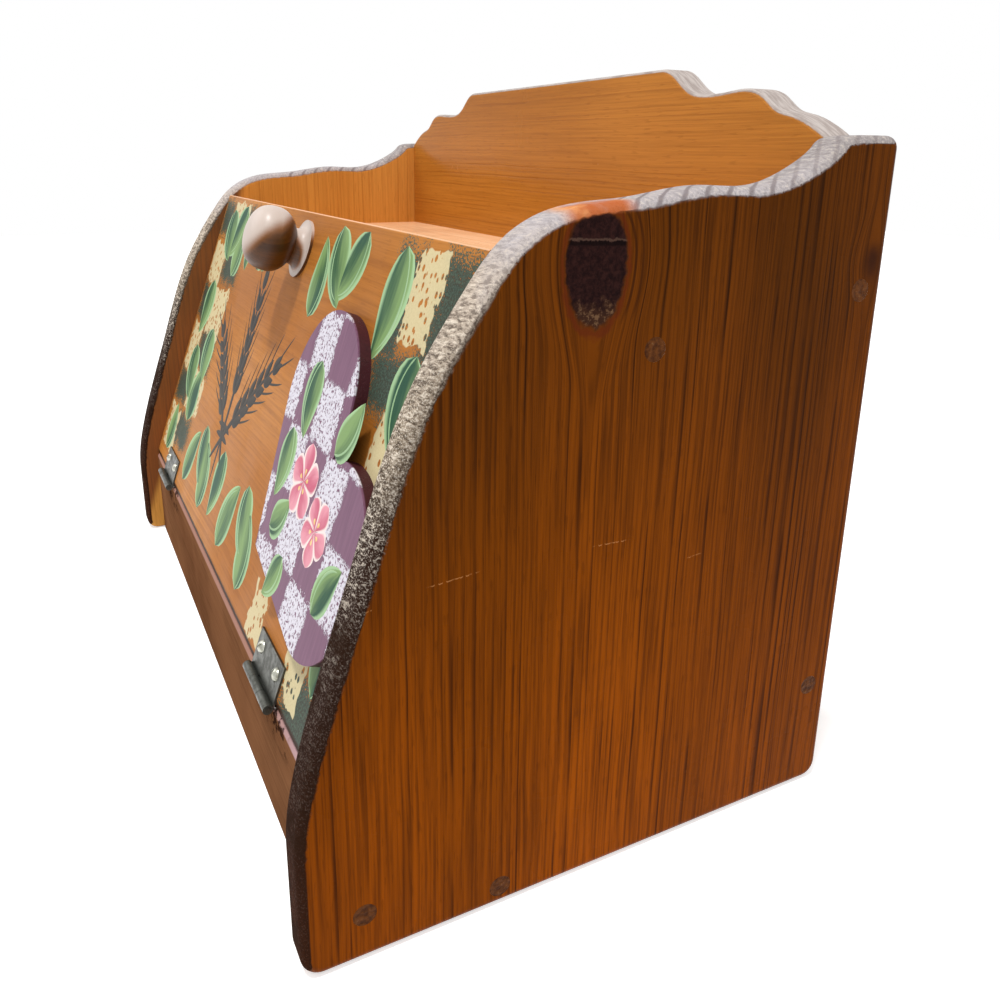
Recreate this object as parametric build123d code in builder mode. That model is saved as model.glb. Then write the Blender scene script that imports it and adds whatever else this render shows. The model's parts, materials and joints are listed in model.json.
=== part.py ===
"""Pine bread box with scrolled sides, a scrolled back crest, a fixed shelf top and a drop-front door.

Millimetres, +Z up. The front faces -Y and +X is on the right seen from the front.
The origin is at the middle of the footprint, on the surface that the box stands on.
"""

import os
from math import cos, radians, sin, tan

from build123d import *

os.makedirs("parts", exist_ok=True)

# Overall sizes of the carcass
width = 457.0
depth = 250.0
side_height = 292.0
crest_height = 324.0

# Thickness of each board
side_board = 17.5
back_board_thickness = 15.5
top_board_thickness = 17.5
bottom_board_thickness = 17.5
rail_thickness = 17.5
door_thickness = 15.0
heart_thickness = 6.0

# Where the boards sit
rail_setback = 12.0
rail_height = 61.5
shelf_height = 230.5
back_inset = 6.5

# Scrolled edge of the sides
knee_height = 48.0
foot_radius = 8.0
heel_radius = 5.0
scroll_round = 4.0
crest_round = 2.0
rail_round = 3.0

# Door that leans back between the sides and drops forward on two hinges
door_lean = 19.7
door_length = 201.3
door_setback = 0.8
door_gap = 2.5
door_side_clearance = 0.75
door_rest_clearance = 0.3
door_round = 1.2

# Heart on the door, its tip measured in from the door's right end and up its slope
heart_tip_inset = 123.0
heart_tip_v = 44.0
heart_lobe_radius = 40.0
heart_lobe_reach = 81.5
heart_axis_angle = 45.6
heart_half_spread = 27.4

# Turned knob and its screw, measured right of the door's middle and down from its upper edge
knob_x = 6.0
knob_drop = 20.3
knob_ball_radius = 17.0
knob_ball_half_length = 13.5
knob_ball_offset = 17.5
knob_neck_radius = 9.5
knob_foot_radius = 15.5
knob_foot_thickness = 1.5
knob_neck_offset = 7.0
knob_screw_radius = 2.0
knob_screw_grip = 14.0
knob_screw_head_radius = 4.5
knob_screw_head_depth = 2.6

# Butt hinges, one leaf on the door's face and one on top of the rail, measured in from the door's ends
left_hinge_inset = 61.25
right_hinge_inset = 77.25
hinge_length = 38.0
hinge_leaf_reach = 19.0
hinge_leaf_thickness = 1.0
hinge_pin_radius = 1.15
hinge_knuckle_gap = 0.2
hinge_knuckle_relief = 0.9
hinge_stand_off = 0.3
hinge_screw_spacing = 24.4
hinge_screw_reach = 12.6
hinge_screw_radius = 1.4
hinge_screw_length = 11.0
hinge_dome_radius = 3.1
hinge_dome_height = 2.0
hinge_flat_head_radius = 2.5
hinge_pin_overhang = 0.6
screw_slot_width = 0.8
screw_slot_depth = 0.9
screw_slot_turn = 55.0
running_clearance = 0.05

# Nails through the sides, each sunk under a plug of filler
nail_radius = 1.3
nail_length = 40.0
nail_clearance = 0.05
plug_radius = 4.5
plug_depth = 3.0
rail_nail_height = 20.3
rail_nail_inset = 11.4
bottom_nail_setback = 78.6
top_nail_setback = 137.3
top_nail_drop = 12.5
back_nail_inset = 9.3
low_back_nail_height = 52.6
high_back_nail_height = 233.1

# Places worked out from the sizes above
front = -depth / 2
back = depth / 2
inner_half = width / 2 - side_board
rail_front = front + rail_setback
rail_back = rail_front + rail_thickness
back_rear = back - back_inset
back_front = back_rear - back_board_thickness
shelf_underside = shelf_height - top_board_thickness
door_half = inner_half - door_side_clearance
hinge_centres = {"left": left_hinge_inset - door_half, "right": door_half - right_hinge_inset}
door_foot_y = rail_front + door_setback
door_foot_z = rail_height + door_gap
lean_sin = sin(radians(door_lean))
lean_cos = cos(radians(door_lean))
lean_tan = tan(radians(door_lean))

# The door's front face: local x runs along the door, local y up its slope, local z out of its face
door_face = Plane(
    origin=(0, door_foot_y, door_foot_z),
    x_dir=(1, 0, 0),
    z_dir=(0, -lean_cos, lean_sin),
)

# The hinge axis lies just over a knuckle's radius out of the door's face, level with the rail leaf's middle
knuckle_radius = hinge_pin_radius + running_clearance + hinge_leaf_thickness
hinge_axis_z = rail_height + hinge_leaf_thickness / 2
hinge_axis_offset = knuckle_radius + hinge_stand_off
hinge_axis_y = door_foot_y - (door_foot_z - hinge_axis_z) * lean_tan - hinge_axis_offset / lean_cos
hinge_axis_v = (hinge_axis_z - door_foot_z) * lean_cos + (hinge_axis_y - door_foot_y) * lean_sin

# Nail places as (distance along Y, height)
nail_spots = {
    "rail": (rail_front + rail_nail_inset, rail_nail_height),
    "bottom": (front + bottom_nail_setback, bottom_board_thickness / 2),
    "top": (front + top_nail_setback, shelf_height - top_nail_drop),
    "back_low": (back_front + back_nail_inset, low_back_nail_height),
    "back_high": (back_front + back_nail_inset, high_back_nail_height),
}


def door_back_y(height):
    """Y of the door's back face at a height."""
    return door_foot_y + (height - door_foot_z) * lean_tan + door_thickness / lean_cos


def scroll_point(depth_share, rise_share):
    """A point of the side's scrolled edge, in shares of the depth and of the rise above the knee."""
    return (front + depth_share * depth, knee_height + rise_share * (side_height - knee_height))


def finish(piece, name):
    """Label a finished piece and write it."""
    piece.part.label = name
    export_step(piece.part, f"parts/{name}.step")


def bore_from_sides(radius, length, names):
    """Bore along X from both outer faces inwards, into the piece that the open block is making."""
    for outward in (-1, 1):
        middle = outward * (width / 2 - length / 2)
        with Locations([(middle, *nail_spots[name]) for name in names]):
            Cylinder(radius, length, rotation=(0, 90, 0), mode=Mode.SUBTRACT)


def nail_holes(*names):
    """Cut the holes of the named nails."""
    bore_from_sides(nail_radius + nail_clearance, plug_depth + nail_length, names)


# Scrolled sides
scroll = [
    scroll_point(0.0, 0.0),
    scroll_point(0.016, 0.118),
    scroll_point(0.040, 0.206),
    scroll_point(0.109, 0.417),
    scroll_point(0.202, 0.668),
    scroll_point(0.280, 0.794),
    scroll_point(0.333, 0.858),
    scroll_point(0.408, 0.896),
    scroll_point(0.520, 0.909),
    scroll_point(0.640, 0.925),
    scroll_point(0.735, 0.924),
    scroll_point(0.807, 0.944),
    scroll_point(0.870, 0.981),
    scroll_point(0.945, 1.0),
]

for hand, outward in (("left", -1), ("right", 1)):
    inner_face = outward * inner_half
    with BuildPart() as side:
        with BuildSketch(Plane.YZ.offset(inner_face)):
            with BuildLine():
                Line((front, foot_radius), scroll[0])
                Spline(*scroll, tangents=[(0, 1), (1, 0)])
                Line(scroll[-1], (back - heel_radius, side_height))
                RadiusArc((back - heel_radius, side_height), (back, side_height - heel_radius), heel_radius)
                Line((back, side_height - heel_radius), (back, foot_radius))
                RadiusArc((back, foot_radius), (back - foot_radius, 0), foot_radius)
                Line((back - foot_radius, 0), (front + foot_radius, 0))
                RadiusArc((front + foot_radius, 0), (front, foot_radius), foot_radius)
            make_face()
        extrude(amount=outward * side_board)
        faces_across = side.faces().filter_by(Axis.X)
        fillet(faces_across.edges(), radius=scroll_round)
        bore_from_sides(plug_radius + nail_clearance, plug_depth, nail_spots)
        nail_holes(*nail_spots)
    finish(side, f"{hand}_side")

# Back board with its scrolled crest, measured in from its end and down from its flat top
crest_scroll = [
    (106.0, 0.0),
    (99.0, 2.0),
    (91.0, 7.5),
    (84.0, 11.4),
    (75.0, 13.0),
    (60.0, 12.6),
    (47.0, 12.0),
    (38.0, 14.4),
    (28.0, 21.0),
    (19.0, 23.4),
    (10.0, 26.8),
    (0.0, 32.5),
]
crest_points = [(inner_half - inset, crest_height - drop) for inset, drop in crest_scroll]

with BuildPart() as back_board:
    with BuildSketch(Plane.XZ.offset(-back_front)) as back_outline:
        with BuildLine():
            Line((0, 0), (inner_half, 0))
            Line((inner_half, 0), crest_points[-1])
            Spline(*crest_points)
            Line(crest_points[0], (0, crest_height))
            mirror(about=Plane.YZ)
        make_face()
    extrude(amount=-back_board_thickness)
    crest_faces = back_board.faces().filter_by(Axis.Y)
    crest_edges = crest_faces.edges().filter_by(lambda edge: edge.center().Z > crest_points[-1][1])
    fillet(crest_edges, radius=crest_round)
    nail_holes("back_low", "back_high")
finish(back_board, "back_board")

# Fixed top board, bevelled along its front so that the door leans on it
with BuildPart() as top_board:
    with BuildSketch(Plane.YZ):
        with BuildLine():
            Polyline(
                (door_back_y(shelf_height) + door_rest_clearance / lean_cos, shelf_height),
                (back_front, shelf_height),
                (back_front, shelf_underside),
                (door_back_y(shelf_underside) + door_rest_clearance / lean_cos, shelf_underside),
                close=True,
            )
        make_face()
    extrude(amount=inner_half, both=True)
    nail_holes("top")
finish(top_board, "top_board")

# Bottom board between the rail and the back board
with BuildPart() as bottom_board:
    with BuildSketch(Plane.YZ):
        with Locations(((rail_back + back_front) / 2, bottom_board_thickness / 2)):
            Rectangle(back_front - rail_back, bottom_board_thickness)
    extrude(amount=inner_half, both=True)
    nail_holes("bottom")
finish(bottom_board, "bottom_board")


def hinge_screw_places(centre):
    """X places of the two screws in one leaf."""
    return [centre - hinge_screw_spacing / 2, centre + hinge_screw_spacing / 2]


# Front rail, drilled from its top for the hinge screws
rail_screw_y = hinge_axis_y + hinge_screw_reach
with BuildPart() as front_rail:
    with BuildSketch(Plane.YZ):
        with Locations(((rail_front + rail_back) / 2, rail_height / 2)):
            Rectangle(rail_thickness, rail_height)
    extrude(amount=inner_half, both=True)
    top_arrises = front_rail.edges().filter_by(Axis.X).group_by(Axis.Z)[-1]
    fillet(top_arrises.sort_by(Axis.Y)[0], radius=rail_round)
    for centre in hinge_centres.values():
        for screw_x in hinge_screw_places(centre):
            with Locations((screw_x, rail_screw_y, rail_height)):
                Cylinder(
                    hinge_screw_radius + nail_clearance,
                    hinge_screw_length,
                    align=(Align.CENTER, Align.CENTER, Align.MAX),
                    mode=Mode.SUBTRACT,
                )
    nail_holes("rail")
finish(front_rail, "front_rail")

# Knob's seat on the door's face, and the place behind the door where its screw's head is sunk
knob_v = door_length - knob_drop
knob_seat = Plane(
    origin=door_face.from_local_coords((knob_x, knob_v, 0)),
    x_dir=door_face.x_dir,
    z_dir=door_face.z_dir,
)
knob_screw_sink = knob_seat.offset(-door_thickness)

# Door panel, its foot cut level over the rail
with BuildPart() as door_panel:
    with BuildSketch(Plane.YZ):
        with BuildLine():
            top_front = (door_foot_y + door_length * lean_sin, door_foot_z + door_length * lean_cos)
            Polyline(
                (door_foot_y, door_foot_z),
                top_front,
                (top_front[0] + door_thickness * lean_cos, top_front[1] - door_thickness * lean_sin),
                (door_back_y(door_foot_z), door_foot_z),
                close=True,
            )
        make_face()
    extrude(amount=door_half, both=True)
    fillet(door_panel.edges().filter_by(Axis.X).sort_by(Axis.Z)[-2:], radius=door_round)
    with BuildSketch(door_face):
        with Locations((knob_x, knob_v)):
            Circle(knob_screw_radius + nail_clearance)
    extrude(amount=-door_thickness, mode=Mode.SUBTRACT)
    with Locations(knob_screw_sink):
        Cone(
            knob_screw_head_radius + nail_clearance,
            knob_screw_radius + nail_clearance,
            knob_screw_head_depth,
            align=(Align.CENTER, Align.CENTER, Align.MIN),
            mode=Mode.SUBTRACT,
        )
    for centre in hinge_centres.values():
        with BuildSketch(door_face):
            for screw_x in hinge_screw_places(centre):
                with Locations((screw_x, hinge_axis_v + hinge_screw_reach)):
                    Circle(hinge_screw_radius + nail_clearance)
        extrude(amount=-hinge_screw_length, mode=Mode.SUBTRACT)
finish(door_panel, "door_panel")

# Heart glued to the door's face: two round lobes and straight sides down to the tip
lobe_angles = (heart_axis_angle + heart_half_spread, heart_axis_angle - heart_half_spread)
tip = Vector(door_half - heart_tip_inset, heart_tip_v)
lobe_centres = [tip + Vector(heart_lobe_reach, 0).rotate(Axis.Z, angle) for angle in lobe_angles]
touch_reach = (heart_lobe_reach**2 - heart_lobe_radius**2) ** 0.5
touch_angle = Vector(touch_reach, heart_lobe_radius).get_angle(Vector(1, 0))
touch_points = [
    tip + Vector(touch_reach, 0).rotate(Axis.Z, lobe_angles[0] + touch_angle),
    tip + Vector(touch_reach, 0).rotate(Axis.Z, lobe_angles[1] - touch_angle),
]

with BuildPart() as heart:
    with BuildSketch(door_face):
        with BuildLine():
            Polyline(tip, touch_points[0], lobe_centres[0], lobe_centres[1], touch_points[1], close=True)
        make_face()
        with Locations(*lobe_centres):
            Circle(heart_lobe_radius)
    extrude(amount=heart_thickness)
finish(heart, "heart_applique")

# Turned knob on its own axis, square to the door's face

def turning_plane(seat):
    """The half plane that a turned piece is revolved in, with the turning axis as its local y."""
    return Plane(origin=seat.origin, x_dir=seat.x_dir, z_dir=-seat.y_dir)


with BuildPart() as knob:
    with BuildSketch(turning_plane(knob_seat)):
        with BuildLine():
            knob_tip = knob_ball_offset + knob_ball_half_length
            Line((0, 0), (knob_foot_radius, 0))
            Line((knob_foot_radius, 0), (knob_foot_radius, knob_foot_thickness))
            Spline(
                (knob_foot_radius, knob_foot_thickness),
                (knob_neck_radius, knob_neck_offset),
                tangents=[(-1, 0), (0, 1)],
            )
            Spline(
                (knob_neck_radius, knob_neck_offset),
                (knob_ball_radius, knob_ball_offset),
                (0, knob_tip),
                tangents=[(2, 1), (0, 1), (-1, 0)],
            )
            Line((0, knob_tip), (0, 0))
        make_face()
    revolve(axis=Axis(knob_seat.origin, knob_seat.z_dir))
    with BuildSketch(knob_seat):
        Circle(knob_screw_radius + nail_clearance)
    extrude(amount=knob_screw_grip, mode=Mode.SUBTRACT)
finish(knob, "knob")

# Flat-headed screw through the door from behind into the knob
with BuildPart() as knob_screw:
    with BuildSketch(knob_screw_sink):
        Circle(knob_screw_radius)
    extrude(amount=door_thickness + knob_screw_grip - nail_clearance)
    with Locations(knob_screw_sink):
        Cone(
            knob_screw_head_radius,
            knob_screw_radius,
            knob_screw_head_depth,
            align=(Align.CENTER, Align.CENTER, Align.MIN),
        )
finish(knob_screw, "knob_screw")

# Hinges: each leaf has its share of three knuckles round one pin
knuckle_length = (hinge_length - 2 * hinge_knuckle_gap) / 3
bore_radius = hinge_pin_radius + running_clearance
axis_point = (0, hinge_axis_y, hinge_axis_z)


def knuckle_spans(centre, places):
    """Start and end in X of the knuckles at the given places, counted from the left."""
    first = centre - hinge_length / 2
    pitch = knuckle_length + hinge_knuckle_gap
    return [(first + place * pitch, first + place * pitch + knuckle_length) for place in places]


for hand, centre in hinge_centres.items():
    outer_spans = knuckle_spans(centre, (0, 2))
    middle_spans = knuckle_spans(centre, (1,))

    # Leaf on the door's face, with the two outer knuckles
    with BuildPart() as door_leaf:
        with BuildSketch(door_face):
            with Locations((centre, hinge_axis_v + hinge_leaf_reach / 2)):
                Rectangle(hinge_length, hinge_leaf_reach)
        extrude(amount=hinge_leaf_thickness)
        for start, end in outer_spans:
            with BuildSketch(Plane.YZ.offset(start)):
                with Locations(axis_point[1:]):
                    Circle(knuckle_radius)
            extrude(amount=end - start)
        for start, end in middle_spans:
            with BuildSketch(Plane.YZ.offset(start - hinge_knuckle_gap)):
                with Locations(axis_point[1:]):
                    Circle(knuckle_radius + hinge_knuckle_relief)
            extrude(amount=end - start + 2 * hinge_knuckle_gap, mode=Mode.SUBTRACT)
        with BuildSketch(Plane.YZ.offset(centre - hinge_length)):
            with Locations(axis_point[1:]):
                Circle(bore_radius)
        extrude(amount=2 * hinge_length, mode=Mode.SUBTRACT)
        with BuildSketch(door_face):
            for screw_x in hinge_screw_places(centre):
                with Locations((screw_x, hinge_axis_v + hinge_screw_reach)):
                    Circle(hinge_screw_radius + nail_clearance)
        extrude(amount=hinge_leaf_thickness, mode=Mode.SUBTRACT)
    finish(door_leaf, f"{hand}_hinge_door_leaf")

    # Leaf on top of the rail, with the middle knuckle
    leaf_plane = Plane.XY.offset(rail_height)
    with BuildPart() as rail_leaf:
        with BuildSketch(leaf_plane):
            with Locations((centre, hinge_axis_y + hinge_leaf_reach / 2)):
                Rectangle(hinge_length, hinge_leaf_reach)
        extrude(amount=hinge_leaf_thickness)
        for start, end in middle_spans:
            with BuildSketch(Plane.YZ.offset(start)):
                with Locations(axis_point[1:]):
                    Circle(knuckle_radius)
            extrude(amount=end - start)
        for start, end in outer_spans:
            with BuildSketch(Plane.YZ.offset(start - hinge_knuckle_gap)):
                with Locations(axis_point[1:]):
                    Circle(knuckle_radius + hinge_knuckle_relief)
            extrude(amount=end - start + 2 * hinge_knuckle_gap, mode=Mode.SUBTRACT)
        with BuildSketch(Plane.YZ.offset(centre - hinge_length)):
            with Locations(axis_point[1:]):
                Circle(bore_radius)
        extrude(amount=2 * hinge_length, mode=Mode.SUBTRACT)
        for screw_x in hinge_screw_places(centre):
            with Locations((screw_x, rail_screw_y, rail_height)):
                Cone(
                    hinge_screw_radius + nail_clearance,
                    hinge_flat_head_radius + nail_clearance,
                    hinge_leaf_thickness,
                    align=(Align.CENTER, Align.CENTER, Align.MIN),
                    mode=Mode.SUBTRACT,
                )
    finish(rail_leaf, f"{hand}_hinge_rail_leaf")

    # Pin through all three knuckles
    with BuildPart() as hinge_pin:
        with BuildSketch(Plane.YZ.offset(centre - hinge_length / 2 - hinge_pin_overhang)):
            with Locations(axis_point[1:]):
                Circle(hinge_pin_radius)
        extrude(amount=hinge_length + 2 * hinge_pin_overhang)
    finish(hinge_pin, f"{hand}_hinge_pin")

    # Round-headed screws through the door leaf and flat-headed ones through the rail leaf
    for number, screw_x in enumerate(hinge_screw_places(centre), start=1):
        screw_seat = Plane(
            origin=door_face.from_local_coords(
                (screw_x, hinge_axis_v + hinge_screw_reach, hinge_leaf_thickness)
            ),
            x_dir=door_face.x_dir,
            z_dir=door_face.z_dir,
        )
        dome_ball = (hinge_dome_radius**2 + hinge_dome_height**2) / (2 * hinge_dome_height)
        with BuildPart() as door_screw:
            with BuildSketch(screw_seat):
                Circle(hinge_screw_radius)
            extrude(amount=-(hinge_screw_length + hinge_leaf_thickness) + nail_clearance)
            with BuildSketch(turning_plane(screw_seat)):
                with BuildLine():
                    Line((0, hinge_dome_height), (0, 0))
                    Line((0, 0), (hinge_dome_radius, 0))
                    RadiusArc((hinge_dome_radius, 0), (0, hinge_dome_height), -dome_ball)
                make_face()
            revolve(axis=Axis(screw_seat.origin, screw_seat.z_dir))
            with BuildSketch(screw_seat.offset(hinge_dome_height)):
                Rectangle(2 * hinge_dome_radius, screw_slot_width, rotation=screw_slot_turn * number)
            extrude(amount=-screw_slot_depth, mode=Mode.SUBTRACT)
        finish(door_screw, f"{hand}_hinge_door_screw_{number}")

        with BuildPart() as rail_screw:
            with Locations((screw_x, rail_screw_y, rail_height)):
                Cylinder(
                    hinge_screw_radius,
                    hinge_screw_length - nail_clearance,
                    align=(Align.CENTER, Align.CENTER, Align.MAX),
                )
                Cone(
                    hinge_screw_radius,
                    hinge_flat_head_radius,
                    hinge_leaf_thickness,
                    align=(Align.CENTER, Align.CENTER, Align.MIN),
                )
            with BuildSketch(Plane.XY.offset(rail_height + hinge_leaf_thickness)):
                with Locations((screw_x, rail_screw_y)):
                    Rectangle(2 * hinge_flat_head_radius, screw_slot_width, rotation=screw_slot_turn * number)
            extrude(amount=-screw_slot_depth, mode=Mode.SUBTRACT)
        finish(rail_screw, f"{hand}_hinge_rail_screw_{number}")

# Nails through the sides and the plugs of filler over their heads
for hand, outward in (("left", -1), ("right", 1)):
    for spot, (spot_y, spot_z) in nail_spots.items():
        outer_seat = Plane(
            origin=(outward * width / 2, spot_y, spot_z), x_dir=(0, 1, 0), z_dir=(-outward, 0, 0)
        )
        with BuildPart() as nail:
            with BuildSketch(outer_seat.offset(plug_depth)):
                Circle(nail_radius)
            extrude(amount=nail_length - nail_clearance)
        finish(nail, f"{hand}_nail_{spot}")

        with BuildPart() as plug:
            with BuildSketch(outer_seat):
                Circle(plug_radius)
            extrude(amount=plug_depth)
        finish(plug, f"{hand}_plug_{spot}")
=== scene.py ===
"""Looks of a pine bread box: varnished boards, worn scrolled edges and a painted drop-front door.

Metres, +Z up, in the part's own frame: the front faces -Y and +X is on the right seen from the front.
"""

import json
from math import cos, degrees, pi, radians, sin, tan

import bpy
from mathutils import Euler, Matrix, Vector


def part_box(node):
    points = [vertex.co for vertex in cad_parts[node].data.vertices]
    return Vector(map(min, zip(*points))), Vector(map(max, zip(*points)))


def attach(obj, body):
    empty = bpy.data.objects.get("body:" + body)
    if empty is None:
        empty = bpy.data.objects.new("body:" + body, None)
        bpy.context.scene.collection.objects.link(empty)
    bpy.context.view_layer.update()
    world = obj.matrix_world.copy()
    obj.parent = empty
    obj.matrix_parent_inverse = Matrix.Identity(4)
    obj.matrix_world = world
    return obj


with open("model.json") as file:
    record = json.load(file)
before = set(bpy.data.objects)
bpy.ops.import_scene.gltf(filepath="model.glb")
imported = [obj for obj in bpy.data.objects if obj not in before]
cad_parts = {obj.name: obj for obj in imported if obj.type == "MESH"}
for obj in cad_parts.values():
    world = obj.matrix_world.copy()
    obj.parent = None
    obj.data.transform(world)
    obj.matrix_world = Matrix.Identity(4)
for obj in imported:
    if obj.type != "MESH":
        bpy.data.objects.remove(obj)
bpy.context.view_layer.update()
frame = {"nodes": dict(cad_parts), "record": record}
nodes = frame["nodes"]
MM = 0.001

# Camera at the photograph's viewpoint
camera_place = Vector((0.47108, -0.17850, 0.28292))
camera_turn = Euler((radians(73.337), radians(-0.587), radians(62.823)))
camera_data = bpy.data.cameras.new("camera")
camera_data.lens = 31.5107
camera_data.sensor_width = 36.0
camera_data.shift_x = 0.0100
camera_data.shift_y = -0.0821
camera_data.clip_start = 0.01
camera = bpy.data.objects.new("camera", camera_data)
camera.location = camera_place
camera.rotation_euler = camera_turn
bpy.context.scene.collection.objects.link(camera)
bpy.context.scene.camera = camera
bpy.context.scene.view_settings.view_transform = "Standard"

# The door's front face: x runs along it, v up its slope from the foot, and its normal points out
lean = radians(19.7)
door_low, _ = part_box("door_panel")
door_origin = Vector((0, door_low.y, door_low.z))
door_up = Vector((0, sin(lean), cos(lean)))
door_out = Vector((0, -cos(lean), sin(lean)))
door_turn = Matrix((Vector((1, 0, 0)), door_up, door_out)).transposed()
heart_thickness = 6 * MM
# How far a stroke of paint stands out of the wood, and how far it is sunk into it
paint_rise = 0.15 * MM
paint_sink = 0.10 * MM


def srgb(red, green, blue):
    """A linear colour from 0 to 255 display values."""
    channels = []
    for value in (red, green, blue):
        share = value / 255
        channels.append(share / 12.92 if share <= 0.04045 else ((share + 0.055) / 1.055) ** 2.4)
    return (*channels, 1.0)


class Wiring:
    """Short ways to add nodes to one tree and join them."""

    def __init__(self, tree):
        self.tree = tree

    def add(self, kind, inputs=(), **settings):
        node = self.tree.nodes.new(kind)
        for name, value in settings.items():
            setattr(node, name, value)
        for name, value in dict(inputs).items():
            if isinstance(value, bpy.types.NodeSocket):
                self.tree.links.new(value, node.inputs[name])
            else:
                node.inputs[name].default_value = value
        return node

    def math(self, operation, *values):
        return self.add("ShaderNodeMath", enumerate(values), operation=operation).outputs[0]

    def times(self, *values):
        product = values[0]
        for value in values[1:]:
            product = self.math("MULTIPLY", product, value)
        return product

    def plus(self, *values):
        total = values[0]
        for value in values[1:]:
            total = self.math("ADD", total, value)
        return total

    def minus(self, first, second):
        return self.math("SUBTRACT", first, second)

    def most(self, *values):
        largest = values[0]
        for value in values[1:]:
            largest = self.math("MAXIMUM", largest, value)
        return largest

    def ease(self, value, start, end, low=0.0, high=1.0):
        """A smooth change from low to high while the value goes from start to end."""
        if start > end:
            start, end, low, high = end, start, high, low
        inputs = {"Value": value, "From Min": start, "From Max": end, "To Min": low, "To Max": high}
        return self.add("ShaderNodeMapRange", inputs, interpolation_type="SMOOTHSTEP").outputs["Result"]

    def mix(self, share, first, second):
        inputs = {0: share, 6: first, 7: second}
        return self.add("ShaderNodeMix", inputs, data_type="RGBA").outputs[2]

    def ramp(self, value, stops):
        """A colour that changes along a value, from stops of place and colour."""
        node = self.add("ShaderNodeValToRGB", {"Fac": value})
        elements = node.color_ramp.elements
        elements.remove(elements[1])
        elements[0].position = stops[0][0]
        elements[0].color = stops[0][1]
        for place, colour in stops[1:]:
            elements.new(place).color = colour
        return node.outputs["Color"]

    def join(self, x, y, z):
        return self.add("ShaderNodeCombineXYZ", {"X": x, "Y": y, "Z": z}).outputs[0]

    def split(self, vector):
        parts = self.add("ShaderNodeSeparateXYZ", {"Vector": vector}).outputs
        return parts["X"], parts["Y"], parts["Z"]

    def noise(self, vector, scale=1.0, detail=2.0, roughness=0.5, distortion=0.0):
        inputs = {"Vector": vector, "Scale": scale, "Detail": detail, "Roughness": roughness,
                  "Distortion": distortion}
        return self.add("ShaderNodeTexNoise", inputs).outputs["Fac"]

    def noise_along(self, x, y, z, detail=2.0, roughness=0.5):
        """Noise on three lengths that are already scaled."""
        return self.noise(self.join(x, y, z), 1.0, detail, roughness)

    def position(self):
        return self.add("ShaderNodeTexCoord").outputs["Object"]

    def facing(self):
        return self.add("ShaderNodeTexCoord").outputs["Normal"]

    def use(self, group, inputs):
        return self.add("ShaderNodeGroup", inputs, node_tree=group).outputs


def new_group(name, inputs, outputs):
    """A node group with number or vector inputs and number outputs."""
    tree = bpy.data.node_groups.new(name, "ShaderNodeTree")
    for label, value in inputs.items():
        kind = "NodeSocketVector" if value is None else "NodeSocketFloat"
        socket = tree.interface.new_socket(label, in_out="INPUT", socket_type=kind)
        if value is not None:
            socket.default_value = value
    for label in outputs:
        tree.interface.new_socket(label, in_out="OUTPUT", socket_type="NodeSocketFloat")
    wiring = Wiring(tree)
    given = wiring.add("NodeGroupInput").outputs
    return wiring, given


def close_group(wiring, results):
    """Hand the results to the group's outputs and return the group."""
    wiring.add("NodeGroupOutput", results)
    return wiring.tree


def make_pine_figure():
    """Growth lines, fibres and broad tone of a pine board, from a place across, along and through it."""
    inputs = {"Across": 0.0, "Along": 0.0, "Through": 0.0, "Line Spacing": 0.007, "Wander": 0.006}
    w, given = new_group("pine figure", inputs, ["Line", "Fibre", "Tone", "Fleck"])
    across, along, through = given["Across"], given["Along"], given["Through"]
    sway = w.noise_along(w.times(across, 7.0), w.times(along, 2.2), w.times(through, 7.0), 1.0)
    ripple = w.noise_along(w.times(across, 45.0), w.times(along, 11.0), w.times(through, 45.0))
    wandered = w.plus(across, w.times(w.minus(sway, 0.5), given["Wander"]))
    swayed = w.plus(wandered, w.times(w.minus(ripple, 0.5), 2.2 * MM), w.times(through, 0.75))
    crowding = w.noise_along(w.times(swayed, 48.0), 0.3, 0.7)
    ring = w.plus(w.math("DIVIDE", swayed, given["Line Spacing"]), w.times(w.minus(crowding, 0.5), 6.0))
    place_in_ring = w.math("FRACT", ring)
    rise = w.ease(place_in_ring, 0.50, 0.88)
    fall = w.ease(place_in_ring, 1.0, 0.90)
    dice = w.add("ShaderNodeTexWhiteNoise", {"W": w.math("FLOOR", ring)}, noise_dimensions="1D")
    depth_of_line = dice.outputs["Value"]
    fading = w.noise_along(w.times(swayed, 90.0), w.times(along, 16.0), 0.2)
    strength = w.times(w.ease(depth_of_line, 0.1, 0.9, 0.3, 0.92), w.ease(fading, 0.36, 0.62, 0.3, 1.0))
    line = w.times(rise, fall, strength)
    fibre = w.noise_along(w.times(swayed, 800.0), w.times(along, 14.0), w.times(through, 800.0), 3.0, 0.65)
    tone = w.noise_along(w.times(across, 16.0), w.times(along, 3.5), w.times(through, 16.0), 1.0)
    speck = w.noise_along(w.times(swayed, 1300.0), w.times(along, 110.0), w.times(through, 1300.0), 0.0)
    fleck = w.ease(speck, 0.66, 0.76)
    return close_group(w, {"Line": line, "Fibre": fibre, "Tone": tone, "Fleck": fleck})


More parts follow.
